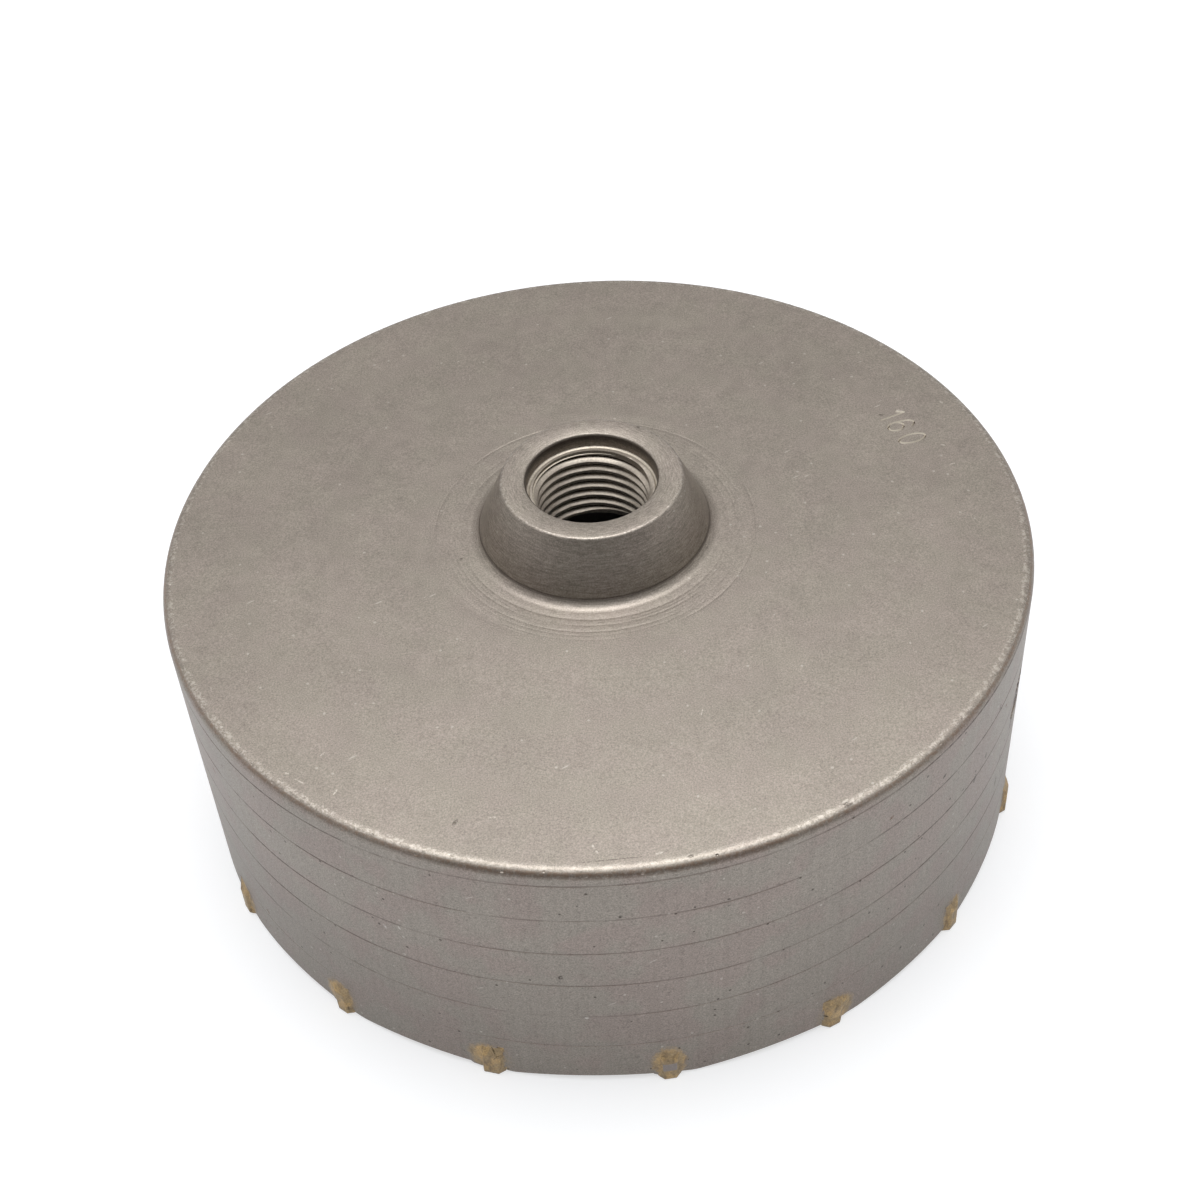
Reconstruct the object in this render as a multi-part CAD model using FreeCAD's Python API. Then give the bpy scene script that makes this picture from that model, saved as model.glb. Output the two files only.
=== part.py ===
# Concrete core bit: a steel cup with a threaded boss and carbide tips brazed in its rim.
# Millimetres. +Z points up along the axis, and z = 0 is the plane that the tips stand on.

import FreeCAD, Part

import math
import os

from FreeCAD import Vector

# Cutting circle and tips
cut_diameter = 160.0
tip_count = 16
first_tip_angle = -85.4
tip_side_standout = 1.0
tip_rim_standout = 0.25
tip_width = 4.4
tip_height = 7.5
tip_corner_chamfer = 1.1
tip_shoulder_drop = 2.0

# Drum wall, called the skirt
skirt_wall = 4.0
skirt_height = 58.1
edge_radius = 1.8
inner_corner_chamfer = 2.5

# Round plate, which rises a little from its edge to the boss
plate_thickness = 5.5
plate_rise = 1.0

# Conical boss
boss_foot_diameter = 43.2
boss_top_diameter = 32.6
boss_height = 11.5
boss_fillet = 2.2
boss_edge_chamfer = 0.3

# Hole for the arbor: the wall is at the major diameter of an M22 x 2 thread
thread_diameter = 22.0
counterbore_diameter = 23.2
counterbore_depth = 2.2
mouth_chamfer = 0.5
exit_chamfer = 0.8

# Shallow hollows ground in the rim between the tips
hollow_depth = 0.9
hollow_radius = 120.0
hollow_shift = 4.0

# Braze: a thin film in the slot and a low bead with bevelled sides on each face of the wall
braze_gap = 0.1
bead_width = 7.2
bead_top = 8.4
bead_corner = 1.7
bead_bevel = 0.9
bead_standout = 0.4

# Places that follow from the sizes above
skirt_radius = cut_diameter / 2 - tip_side_standout
skirt_inner_radius = skirt_radius - skirt_wall
tip_outer_radius = cut_diameter / 2
tip_inner_radius = skirt_inner_radius - tip_side_standout
rim_z = tip_rim_standout
plate_edge_z = rim_z + skirt_height
underside_z = plate_edge_z - plate_thickness
plate_crown_z = plate_edge_z + plate_rise
boss_top_z = plate_crown_z + boss_height
boss_foot_radius = boss_foot_diameter / 2
boss_top_radius = boss_top_diameter / 2
thread_radius = thread_diameter / 2
counterbore_radius = counterbore_diameter / 2
tip_pitch_angle = 360.0 / tip_count
slot_top_z = tip_height + braze_gap
up = Vector(0, 0, 1)
outward = Vector(1, 0, 0)


def rounded_corner(before, corner, after, radius):
    """Return the two ends and the middle of an arc that rounds a corner of an outline."""
    to_before = (before - corner).normalize()
    to_after = (after - corner).normalize()
    half_angle = to_before.getAngle(to_after) / 2
    reach = radius / math.tan(half_angle)
    start = corner + to_before * reach
    end = corner + to_after * reach
    bisector = (to_before + to_after).normalize()
    centre = corner + bisector * (radius / math.sin(half_angle))
    middle = centre - bisector * radius
    return start, middle, end


def rounded_outline(points, radii):
    """Return a closed wire through the points, with an arc at each point that has a radius."""
    edges = []
    first_start = None
    last_end = None
    for index, corner in enumerate(points):
        radius = radii.get(index, 0)
        if radius:
            before = points[index - 1]
            after = points[(index + 1) % len(points)]
            start, middle, end = rounded_corner(before, corner, after, radius)
        else:
            start = corner
            end = corner
        if last_end is not None:
            edges.append(Part.LineSegment(last_end, start).toShape())
        if radius:
            edges.append(Part.Arc(start, middle, end).toShape())
        if first_start is None:
            first_start = start
        last_end = end
    edges.append(Part.LineSegment(last_end, first_start).toShape())
    return Part.Wire(edges)


def turned_blank():
    """Turn the cup and its boss from one half section in the XZ plane."""
    section = [
        (thread_radius + exit_chamfer, underside_z),
        (skirt_inner_radius - inner_corner_chamfer, underside_z),
        (skirt_inner_radius, underside_z - inner_corner_chamfer),
        (skirt_inner_radius, rim_z),
        (skirt_radius, rim_z),
        (skirt_radius, plate_edge_z),
        (boss_foot_radius, plate_crown_z),
        (boss_top_radius, boss_top_z - boss_edge_chamfer),
        (boss_top_radius - boss_edge_chamfer, boss_top_z),
        (counterbore_radius + mouth_chamfer, boss_top_z),
        (counterbore_radius, boss_top_z - mouth_chamfer),
        (counterbore_radius, boss_top_z - counterbore_depth),
        (thread_radius, boss_top_z - counterbore_depth - (counterbore_radius - thread_radius)),
        (thread_radius, underside_z + exit_chamfer),
    ]
    radii = {
        section.index((skirt_radius, plate_edge_z)): edge_radius,
        section.index((boss_foot_radius, plate_crown_z)): boss_fillet,
    }
    points = [Vector(radius, 0, height) for radius, height in section]
    outline = rounded_outline(points, radii)
    return Part.Face(outline).revolve(Vector(0, 0, 0), up, 360)


def turned_to(shape, angle):
    """Return a copy of a shape made on the +X side, turned about the axis to an angle."""
    copy = shape.copy()
    copy.rotate(Vector(0, 0, 0), up, angle)
    return copy


def slot_cutter():
    """Slot across the rim on the +X side, wide enough for a tip and its braze."""
    width = tip_width + 2 * braze_gap
    length = tip_outer_radius - tip_inner_radius
    corner = Vector(tip_inner_radius, -width / 2, 0)
    return Part.makeBox(length, width, slot_top_z, corner)


def hollow_cutter():
    """Wheel that grinds one hollow in the rim between the tip on the +X side and the next."""
    centre_z = rim_z + hollow_depth - hollow_radius
    length = tip_outer_radius - tip_inner_radius
    spread = math.cos(math.radians(tip_pitch_angle / 2))
    start = Vector(tip_inner_radius * spread, 0, centre_z)
    wheel = Part.makeCylinder(hollow_radius, length + tip_inner_radius * (1 - spread), start, outward)
    shift_angle = math.degrees(hollow_shift / skirt_radius)
    return turned_to(wheel, tip_pitch_angle / 2 + shift_angle)


def carbide_tip():
    """Tip on the +X side: chamfered at its four upright corners and sloped off at its top ends."""
    chamfer = tip_corner_chamfer
    half = tip_width / 2
    plan = [
        (tip_inner_radius, -half + chamfer),
        (tip_inner_radius + chamfer, -half),
        (tip_outer_radius - chamfer, -half),
        (tip_outer_radius, -half + chamfer),
        (tip_outer_radius, half - chamfer),
        (tip_outer_radius - chamfer, half),
        (tip_inner_radius + chamfer, half),
        (tip_inner_radius, half - chamfer),
    ]
    side = [
        (tip_inner_radius, 0),
        (tip_outer_radius, 0),
        (tip_outer_radius, tip_height - tip_shoulder_drop),
        (skirt_radius, tip_height),
        (skirt_inner_radius, tip_height),
        (tip_inner_radius, tip_height - tip_shoulder_drop),
    ]
    plan_points = [Vector(x, y, 0) for x, y in plan]
    side_points = [Vector(x, -half, z) for x, z in side]
    bar = Part.Face(Part.makePolygon(plan_points + plan_points[:1])).extrude(up * tip_height)
    form = Part.Face(Part.makePolygon(side_points + side_points[:1])).extrude(Vector(0, tip_width, 0))
    return bar.common(form)


def wall_ring(inner, outer):
    """Ring about the axis between two radii, higher than the braze reaches."""
    height = bead_top + bead_bevel
    ring = Part.makeCylinder(outer, height)
    return ring.cut(Part.makeCylinder(inner, height))


def bead_corners(x, inset):
    """Closed outline of a bead at a distance x from the axis, drawn in from its size on the wall."""
    half = bead_width / 2 - inset
    top = bead_top - inset
    outline = [
        (-half, 0),
        (-half, top - bead_corner),
        (-half + bead_corner, top),
        (half - bead_corner, top),
        (half, top - bead_corner),
        (half, 0),
        (-half, 0),
    ]
    return [Vector(x, across, height) for across, height in outline]


def bevelled_bead(wall_radius, direction):
    """Bead on the +X side with flat bevels, half of it sunk in the wall and half standing out of it."""
    sunk = bead_corners(wall_radius - direction * bead_standout, -bead_bevel)
    crown = bead_corners(wall_radius + direction * bead_standout, bead_bevel)
    faces = [Part.Face(Part.makePolygon(sunk)), Part.Face(Part.makePolygon(crown))]
    for index in range(len(sunk) - 1):
        bevel = [sunk[index], sunk[index + 1], crown[index + 1], crown[index], sunk[index]]
        faces.append(Part.Face(Part.makePolygon(bevel)))
    return Part.Solid(Part.Shell(faces))


def braze_bead(tip, slot, hollows):
    """Braze on the +X side: the film round the tip in its slot, and a low bead on each face of the wall."""
    outer_cap = bevelled_bead(skirt_radius, 1).common(wall_ring(skirt_radius, tip_outer_radius))
    inner_cap = bevelled_bead(skirt_inner_radius, -1).common(wall_ring(tip_inner_radius, skirt_inner_radius))
    film = slot.common(wall_ring(skirt_inner_radius, skirt_radius))
    below_rim = Part.makeCylinder(tip_outer_radius, rim_z)
    return film.fuse([outer_cap, inner_cap]).cut([tip, below_rim] + hollows).removeSplitter()


def core_body(slot, hollow):
    """Turned cup with a slot for each tip and a hollow after each slot."""
    cutters = []
    for index in range(tip_count):
        angle = first_tip_angle + index * tip_pitch_angle
        cutters.append(turned_to(slot, angle))
        cutters.append(turned_to(hollow, angle))
    return turned_blank().cut(cutters)


def save(shape, node):
    """Write one sub-part, after testing that it is sound."""
    if not shape.isValid() or len(shape.Solids) != 1:
        raise ValueError(node + " is not one valid solid")
    shape.Solids[0].exportStep("parts/" + node + ".step")
    print(node, round(shape.Volume, 2), "mm3")


def main():
    os.makedirs("parts", exist_ok=True)
    slot = slot_cutter()
    hollow = hollow_cutter()
    tip = carbide_tip()
    braze = braze_bead(tip, slot, [hollow, turned_to(hollow, -tip_pitch_angle)])
    save(core_body(slot, hollow), "core_body")
    for index in range(tip_count):
        angle = first_tip_angle + index * tip_pitch_angle
        number = "%02d" % (index + 1)
        save(turned_to(tip, angle), "carbide_tip_" + number)
        save(turned_to(braze, angle), "braze_" + number)


main()
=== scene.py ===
import math
import random

import bmesh
import bpy
from mathutils import Matrix, Vector, noise


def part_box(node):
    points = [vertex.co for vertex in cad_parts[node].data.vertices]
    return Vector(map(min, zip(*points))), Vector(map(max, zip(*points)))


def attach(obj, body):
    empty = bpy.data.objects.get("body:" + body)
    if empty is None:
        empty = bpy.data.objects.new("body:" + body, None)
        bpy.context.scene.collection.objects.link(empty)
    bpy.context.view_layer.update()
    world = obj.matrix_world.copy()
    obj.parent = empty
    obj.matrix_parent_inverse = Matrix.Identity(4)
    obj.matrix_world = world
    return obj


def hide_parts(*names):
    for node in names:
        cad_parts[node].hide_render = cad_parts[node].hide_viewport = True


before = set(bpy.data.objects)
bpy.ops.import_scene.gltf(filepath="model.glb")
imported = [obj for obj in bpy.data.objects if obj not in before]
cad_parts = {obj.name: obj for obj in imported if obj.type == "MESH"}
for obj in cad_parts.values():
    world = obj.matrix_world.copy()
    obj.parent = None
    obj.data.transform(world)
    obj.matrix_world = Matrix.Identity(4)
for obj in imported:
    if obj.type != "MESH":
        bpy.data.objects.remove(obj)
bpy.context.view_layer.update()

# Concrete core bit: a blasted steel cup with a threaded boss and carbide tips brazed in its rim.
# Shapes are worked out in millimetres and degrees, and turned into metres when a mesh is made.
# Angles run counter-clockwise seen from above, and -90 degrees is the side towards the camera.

MM = 0.001
body_low, body_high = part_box("core_body")

# Sizes of the cup, in millimetres
skirt_radius = body_high.x / MM
rim_z = body_low.z / MM
boss_top_z = body_high.z / MM
inner_radius = skirt_radius - 4.0
plate_edge_z = rim_z + 58.1
plate_rise = 1.0
plate_thickness = 5.5
underside_z = plate_edge_z - plate_thickness
edge_radius = 1.8
rim_break = 0.25
inner_corner_radius = 2.5

# Sizes of the boss and its hole
boss_top_radius = 16.3
boss_foot_radius = 21.6
boss_fillet = 2.2
boss_edge_break = 0.45
mouth_radius = 12.1
counterbore_radius = 11.85
counterbore_depth = 2.8
thread_radius = 11.0
thread_crest_radius = 9.92
thread_pitch = 2.0
thread_crest_width = 0.62
thread_foot_width = 1.94
thread_start_angle = 340.2
thread_exit_slope = 2.2
lead_in_top_radius = 10.79
lead_in_slope = 0.455
lead_in_foot_radius = 10.52
lead_in_drop = 0.74
exit_chamfer = 0.8

# Tips, and the hollows ground in the rim between them
tip_count = 16
first_tip_angle = -85.4
tip_pitch_angle = 360.0 / tip_count
tip_width = 4.4
tip_height = 7.5
braze_gap = 0.1
hollow_radius = 120.0
hollow_depth = 0.9
hollow_shift = 4.0
deep_hollows = {2: 1.35, 1: 0.8, 0: 0.85, 15: 1.0}

# Spiral line scribed on the wall, and rings turned on the plate
scribe_front_z = plate_edge_z - 2.8
scribe_pitch = 8.95
scribe_turns = range(-6, 2)
scribe_offsets = ((-0.5, 0), (-0.14, 0), (0, 1), (0.14, 0), (0.5, 0))
scribe_depth = 0.06
ring_half_width = 0.1
rings = {29.9: 0.012, 29.3: 0.028, 28.3: 0.009, 27.4: 0.015, 26.6: 0.01, 25.9: 0.026, 25.2: 0.013, 24.5: 0.02}

columns = 720


def blend(value, low, high):
    """Smooth step from 0 at low to 1 at high."""
    share = min(max((value - low) / (high - low), 0.0), 1.0)
    return share * share * (3 - 2 * share)


def polar(radius, angle, height):
    """Point in millimetres from a radius, an angle in degrees and a height."""
    turn = math.radians(angle)
    return Vector((radius * math.cos(turn), radius * math.sin(turn), height))


def new_object(name, mesh):
    """Object of the part, riding on its one body."""
    piece = bpy.data.objects.new(name, mesh)
    bpy.context.scene.collection.objects.link(piece)
    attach(piece, "root")
    return piece


def mesh_from_bmesh(name, form, sharp_angle=35.0):
    """Mesh with smooth faces and sharp edges where it turns by more than an angle in degrees."""
    mesh = bpy.data.meshes.new(name)
    bmesh.ops.recalc_face_normals(form, faces=form.faces)
    form.to_mesh(mesh)
    form.free()
    mesh.polygons.foreach_set("use_smooth", [True] * len(mesh.polygons))
    mesh.set_sharp_from_angle(angle=math.radians(sharp_angle))
    return mesh


def form_from_lists(points, faces):
    """Editable mesh from points in millimetres and faces given as lists of point numbers."""
    form = bmesh.new()
    vertices = [form.verts.new(Vector(point) * MM) for point in points]
    for face in faces:
        form.faces.new([vertices[number] for number in face])
    return form


# Cup

def plate_height(radius):
    """Height of the plate's upper face at a radius."""
    slope = plate_rise / (skirt_radius - boss_foot_radius)
    return plate_edge_z + (skirt_radius - radius) * slope


def rim_height(angle, radius):
    """Height of the rim at an angle: the rim is hollowed between the tips."""
    gap_number = math.floor((angle - first_tip_angle) / tip_pitch_angle)
    shift_angle = math.degrees(hollow_shift / skirt_radius)
    height = rim_z
    for number in (gap_number - 1, gap_number):
        centre = first_tip_angle + (number + 0.5) * tip_pitch_angle + shift_angle
        depth = deep_hollows.get(number % tip_count, hollow_depth)
        reach = radius * math.sin(math.radians(angle - centre))
        drop = hollow_radius - math.sqrt(hollow_radius ** 2 - reach ** 2)
        height = max(height, rim_z + depth - drop)
    return height


def scribe_rows(angle, low, high):
    """Points of the wall between two heights, with the scribed spiral cut in it."""
    rows = []
    for turn in scribe_turns:
        turned = turn + (angle + 90.0) / 360.0
        height = scribe_front_z + scribe_pitch * turned
        spot = Vector((turned * 31.0, 7.3, 0.5))
        depth = scribe_depth * blend(noise.noise(spot), -0.45, 0.1) * blend(height, 5.0, 8.0)
        for offset, cut in scribe_offsets:
            place = height + offset
            inside = low < place < high
            rows.append((skirt_radius - (cut * depth if inside else 0), min(max(place, low), high)))
    return rows


def edge_rows(angle):
    """Points of the rounded edge between the wall and the plate, worn a little uneven."""
    rows = []
    centre_radius = skirt_radius - edge_radius
    centre_z = plate_height(centre_radius) - edge_radius
    steps = 9
    for step in range(steps + 1):
        share = step / steps
        lean = math.radians(89.0 * share)
        spot = Vector((math.cos(math.radians(angle)) * 60, math.sin(math.radians(angle)) * 60, share * 2))
        wear = 0.035 * noise.noise(spot * 0.8) + 0.03 * noise.noise(spot * 3.1)
        radius = edge_radius - abs(wear) * math.sin(math.pi * share)
        rows.append((centre_radius + radius * math.cos(lean), centre_z + radius * math.sin(lean)))
    return rows


def ring_rows(angle):
    """Points of the plate from its edge to the boss, with the rings that the turning tool left."""
    rows = []
    for radius in (76.4, 70.0, 68.0, 66.8, 65.6, 64.4, 63.2, 62.0, 60.8, 58.0, 50.0, 40.0, 33.0):
        rows.append((radius, plate_height(radius)))
    for radius, depth in sorted(rings.items(), reverse=True):
        spot = polar(1.5, angle, radius * 3.0)
        cut = depth * blend(noise.noise(spot), -0.4, 0.2)
        for offset, share in ((ring_half_width, 0), (0, 1), (-ring_half_width, 0)):
            place = radius + offset
            rows.append((place, plate_height(place) - cut * share))
    return rows


def boss_rows(angle):
    """Points of the boss from its fillet up to its flat top."""
    rows = []
    lean = math.atan2(boss_top_z - plate_height(boss_foot_radius), boss_foot_radius - boss_top_radius)
    reach = boss_fillet * math.tan(lean / 2)
    foot = boss_foot_radius + reach
    steps = 7
    for step in range(steps + 1):
        turn = lean * step / steps
        rows.append((foot - boss_fillet * math.sin(turn), plate_height(foot) + boss_fillet * (1 - math.cos(turn))))
    last_radius, last_z = rows[-1]
    along = Vector((-math.cos(lean), math.sin(lean)))
    outward = Vector((math.sin(lean), math.cos(lean)))
    for distance, depth in ((0.07, 0.03), (0.16, 0.0)):
        point = Vector((last_radius, last_z)) + along * distance - outward * depth
        rows.append((point.x, point.y))
    spot = polar(9.0, angle, 0)
    wear = boss_edge_break * (1 + 0.5 * noise.noise(spot) + 0.35 * noise.noise(spot * 4))
    start = Vector((boss_top_radius, boss_top_z)) - along * wear
    painted_bend_shade = Vector((boss_top_radius, boss_top_z))
    end = Vector((boss_top_radius - wear, boss_top_z))
    for step in range(5):
        share = step / 4
        point = start.lerp(painted_bend_shade, share).lerp(painted_bend_shade.lerp(end, share), share)
        rows.append((point.x, point.y))
    return rows


def hole_rows(angle):
    """Points of the hole from its mouth down to its lower end."""
    floor_z = boss_top_z - counterbore_depth
    spot = polar(5.0, angle, 3.0)
    nick = 0.05 * noise.noise(spot * 2)
    return [
        (mouth_radius + 0.18 + nick, boss_top_z),
        (mouth_radius + 0.06 + nick, boss_top_z - 0.05),
        (mouth_radius - 0.06 + nick, boss_top_z - 0.17),
        (counterbore_radius, boss_top_z - 0.42),
        (counterbore_radius, floor_z + 0.15),
        (counterbore_radius - 0.05, floor_z + 0.04),
        (counterbore_radius - 0.16, floor_z - 0.03),
        (lead_in_foot_radius, floor_z - lead_in_drop),
        (thread_radius, floor_z - lead_in_drop - 0.15),
        (thread_radius, underside_z + exit_chamfer),
        (thread_radius + exit_chamfer, underside_z),
    ]


def inside_rows(angle):
    """Points of the cup's underside and inner wall."""
    rows = []
    steps = 4
    for step in range(steps + 1):
        turn = math.pi / 2 * step / steps
        radius = inner_radius - inner_corner_radius * (1 - math.sin(turn))
        rows.append((radius, underside_z - inner_corner_radius * (1 - math.cos(turn))))
    low = rim_height(angle, inner_radius)
    rows.append((inner_radius, low + rim_break))
    rows.append((inner_radius + rim_break, low))
    return rows


def cup_section(angle):
    """Closed outline of the cup at an angle, as pairs of radius and height."""
    low = rim_height(angle, skirt_radius)
    edge = edge_rows(angle)
    rows = [(skirt_radius - rim_break, low), (skirt_radius, low + rim_break)]
    rows += scribe_rows(angle, low + rim_break, edge[0][1])
    rows += edge + ring_rows(angle) + boss_rows(angle)
    rows += hole_rows(angle) + inside_rows(angle)
    return rows


def turned_cup():
    """Editable mesh of the cup, turned from its outline. The seam is at the back."""
    points = []
    faces = []
    for column in range(columns + 1):
        angle = 90.0 - 360.0 + 360.0 * column / columns
        section = cup_section(angle)
        points += [polar(radius, angle, height) for radius, height in section]
    count = len(section)
    for column in range(columns):
        for row in range(count):
            after = (row + 1) % count
            near = column * count
            far = near + count
            faces.append((near + row, far + row, far + after, near + after))
    form = form_from_lists(points, faces)
    bmesh.ops.remove_doubles(form, verts=form.verts, dist=0.0005 * MM)
    bmesh.ops.dissolve_degenerate(form, edges=form.edges, dist=0.0005 * MM)
    bmesh.ops.triangulate(form, faces=form.faces)
    return form


# Cutters for the slots, the stamped size and the nicks

def slot_box(number):
    """Corners and faces of the box that cuts the slot for a tip."""
    angle = first_tip_angle + number * tip_pitch_angle
    half = tip_width / 2 + braze_gap
    top = tip_height + braze_gap
    turn = Matrix.Rotation(math.radians(angle), 3, "Z")
    points = []
    for radius in (inner_radius - 1, skirt_radius + 1):
        for across in (-half, half):
            for height in (-1, top):
                points.append(turn @ Vector((radius, across, height)))
    faces = [(0, 1, 3, 2), (4, 6, 7, 5), (0, 4, 5, 1), (2, 3, 7, 6), (0, 2, 6, 4), (1, 5, 7, 3)]
    return points, faces


def stroke_tube(path, radius, closed=False, sides=4):
    """Closed thin bar along a path. A closed path gives a ring."""
    points = []
    faces = []
    count = len(path)
    for index, place in enumerate(path):
        before = path[index - 1] if closed else path[max(index - 1, 0)]
        after = path[(index + 1) % count] if closed else path[min(index + 1, count - 1)]
        forward = (after - before).normalized()
        sideways = forward.cross(Vector((0, 0, 1))).normalized()
        raised = sideways.cross(forward)
        for side in range(sides):
            turn = math.tau * side / sides
            points.append(place + (sideways * math.cos(turn) + raised * math.sin(turn)) * radius)
    for index in range(count if closed else count - 1):
        start = index * sides
        following = (index + 1) % count * sides
        for side in range(sides):
            other = (side + 1) % sides
            faces.append((start + side, start + other, following + other, following + side))
    if not closed:
        faces.append(tuple(reversed(range(sides))))
        faces.append(tuple(range(len(points) - sides, len(points))))
    return points, faces


# Plain size number on the plate: its digits stand with their tops outward
digit_radius = 61.4
digit_height = 5.4
digit_width = 2.3
digit_angles = {"1": 23.9, "6": 21.0, "0": 17.1}
stroke_radius = 0.34
stroke_lift = 0.13


def oval(middle_height, half_height):
    """Closed oval as wide as a digit, as pairs from 0 to 1 across and up."""
    turns = [math.tau * step / 28 for step in range(28)]
    return [(0.5 + 0.5 * math.sin(turn), middle_height + half_height * math.cos(turn)) for turn in turns]


# Strokes of each digit in its own square: first those that are cut together, then those that join them
first_strokes = {
    "1": ([(0.6, 0.97), (0.6, 0.6), (0.6, 0.3), (0.6, 0.0)], False),
    "6": (oval(0.29, 0.29), True),
    "0": (oval(0.5, 0.5), True),
}
second_strokes = {
    "1": ([(0.2, 0.72), (0.38, 0.84), (0.62, 1.0)], False),
    "6": ([(0.0, 0.34), (0.03, 0.56), (0.12, 0.78), (0.3, 0.94), (0.55, 1.0), (0.8, 0.95), (0.97, 0.82)], False),
}


def stamped_stroke(digit, stroke):
    """Tube that stamps one stroke of a digit in the plate."""
    shape, closed = stroke
    centre = math.radians(digit_angles[digit])
    outward = Vector((math.cos(centre), math.sin(centre), 0))
    reading = Vector((math.sin(centre), -math.cos(centre), 0))
    path = []
    for across, raised in shape:
        place = outward * (digit_radius + raised * digit_height)
        place += reading * ((across - 0.5) * digit_width)
        place.z = plate_height(place.xy.length) + stroke_lift
        path.append(place)
    return stroke_tube(path, stroke_radius, closed)


# Nicks in the plate's edge: angle, lean of the surface there from 0 on the wall to 90 degrees on the
# plate, then size along the edge, size across it and depth
nicks = [
    (-103.3, 40, 0.9, 0.55, 0.16),
    (-81.7, 84, 1.1, 0.45, 0.12),
    (-78.7, 62, 0.6, 0.5, 0.2),
    (-62.0, 82, 0.9, 0.5, 0.15),
]


# Chips broken out of the wall, given in the same way with their drop below the edge
chips = [
    (-20.6, 0, 8.0, 3.4, 1.7, 16.0),
    (-23.0, 0, 5.6, 4.2, 1.3, 20.4),
]


def nick_blob(angle, lean, along, across, depth, drop=0.0):
    """Flattened ball set into the rounded edge, or the wall below, so deep that it takes out a nick."""
    slant = math.radians(lean)
    centre_radius = skirt_radius - edge_radius
    surface = Vector((centre_radius + edge_radius * math.cos(slant), 0, 0))
    surface.z = plate_height(centre_radius) - edge_radius + edge_radius * math.sin(slant) - drop
    face = Vector((math.cos(slant), 0, math.sin(slant)))
    downhill = Vector((math.sin(slant), 0, -math.cos(slant)))
    thick = depth * 1.8
    reach = 1 / math.sqrt(1 - (1 - depth / thick) ** 2)
    middle = surface + face * (thick - depth)
    ball = bmesh.new()
    bmesh.ops.create_icosphere(ball, subdivisions=2, radius=1.0)
    turn = Matrix.Rotation(math.radians(angle), 3, "Z")
    points = []
    for vertex in ball.verts:
        x, y, z = vertex.co
        place = middle + downhill * (x * across / 2 * reach) + face * (z * thick)
        points.append(turn @ (place + Vector((0, y * along / 2 * reach, 0))))
    faces = [[vertex.index for vertex in face.verts] for face in ball.faces]
    ball.free()
    return points, faces


def scattered_nicks(count):
    """Small nicks spread over the plate's edge by a seeded draw."""
    draw = random.Random(7)
    spread = []
    for index in range(count):
        angle = 360.0 * (index + draw.random() * 0.6) / count
        near = [abs((angle - nick[0] + 180) % 360 - 180) for nick in nicks]
        lean = draw.uniform(25, 88)
        along = draw.uniform(0.35, 1.0)
        across = draw.uniform(0.25, 0.5)
        if min(near) > 1.2:
            spread.append((angle, lean, along, across, draw.uniform(0.04, 0.09)))
    return spread


def cutter_object(solids):
    """One mesh of several closed cutters, none of which meets another."""
    points = []
    faces = []
    for solid_points, solid_faces in solids:
        start = len(points)
        points += solid_points
        faces += [[start + number for number in face] for face in solid_faces]
    mesh = bpy.data.meshes.new("cutters")
    form = form_from_lists(points, faces)
    bmesh.ops.recalc_face_normals(form, faces=form.faces)
    form.to_mesh(mesh)
    form.free()
    cutters = bpy.data.objects.new("cutters", mesh)
    bpy.context.scene.collection.objects.link(cutters)
    return cutters


def evaluated_mesh(piece):
    """Mesh of an object with its modifiers applied."""
    graph = bpy.context.evaluated_depsgraph_get()
    return bpy.data.meshes.new_from_object(piece.evaluated_get(graph))


def make_cup():
    """The steel cup with its slots, stamp and nicks cut."""
    rough = bpy.data.objects.new("rough_cup", mesh_from_bmesh("rough_cup", turned_cup()))
    bpy.context.scene.collection.objects.link(rough)
    solids = [slot_box(number) for number in range(tip_count)]
    solids += [stamped_stroke(digit, stroke) for digit, stroke in first_strokes.items()]
    solids += [nick_blob(*nick) for nick in nicks + chips + scattered_nicks(90)]
    joined_strokes = [stamped_stroke(digit, stroke) for digit, stroke in second_strokes.items()]
    groups = [cutter_object(solids), cutter_object(joined_strokes)]
    for cutters in groups:
        cut = rough.modifiers.new("cut", "BOOLEAN")
        cut.operation = "DIFFERENCE"
        cut.solver = "EXACT"
        cut.object = cutters
    mesh = evaluated_mesh(rough)
    for helper in groups + [rough]:
        bpy.data.objects.remove(helper)
    mesh.polygons.foreach_set("use_smooth", [True] * len(mesh.polygons))
    mesh.set_sharp_from_angle(angle=math.radians(30))
    cup = new_object("steel_cup", mesh)
    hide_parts("core_body")
    return cup


# Thread in the hole

def crest_radius_at(height):
    """Radius of the thread's crest, which the lead-in and the lower chamfer cut back."""
    floor_z = boss_top_z - counterbore_depth
    lead_in = lead_in_top_radius - (floor_z - height) * lead_in_slope
    exit_cone = thread_radius + exit_chamfer - (height - underside_z) * thread_exit_slope
    return max(thread_crest_radius, lead_in, exit_cone)


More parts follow.
